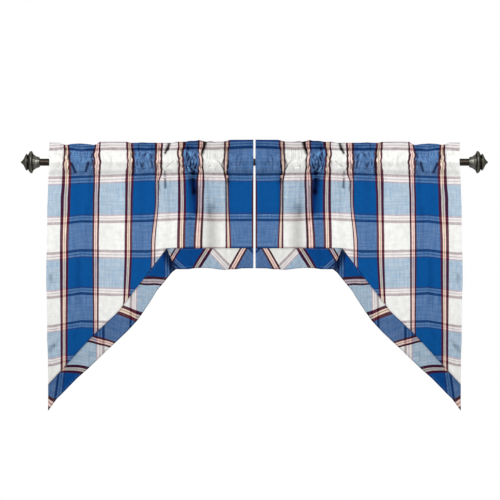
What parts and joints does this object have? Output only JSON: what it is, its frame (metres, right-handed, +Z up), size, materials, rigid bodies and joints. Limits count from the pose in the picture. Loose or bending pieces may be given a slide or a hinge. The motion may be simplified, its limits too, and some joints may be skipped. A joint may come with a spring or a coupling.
{
  "type": "swag and tail drape on a rod",
  "caption": "Pair of gathered plaid swag and tail panels with mitred bias bands, hung by rod pockets on a dark round rod with stepped eight-sided finials.",
  "frame": {"origin": "middle of the rod's axis, between the two panels", "axes": "+X along the rod to the viewer's right, +Y towards the wall, +Z up"},
  "size_m": [1.5756, 0.0756, 0.9147],
  "materials": {
    "plaid_cotton": "matt woven cotton, blue and white plaid with burgundy and tan lines",
    "bias_plaid_cotton": "matt woven cotton, the same plaid cut on the bias",
    "dark_bronze": "dark bronze, satin, worn lighter at the edges"
  },
  "bodies": {
    "root": {"rod": "dark_bronze", "finial_left": "dark_bronze", "finial_right": "dark_bronze", "panel_left": "plaid_cotton", "panel_right": "plaid_cotton", "band_slope_left": "bias_plaid_cotton", "band_slope_right": "bias_plaid_cotton", "band_level_left": "bias_plaid_cotton", "band_level_right": "bias_plaid_cotton"}
  },
  "joints": []
}
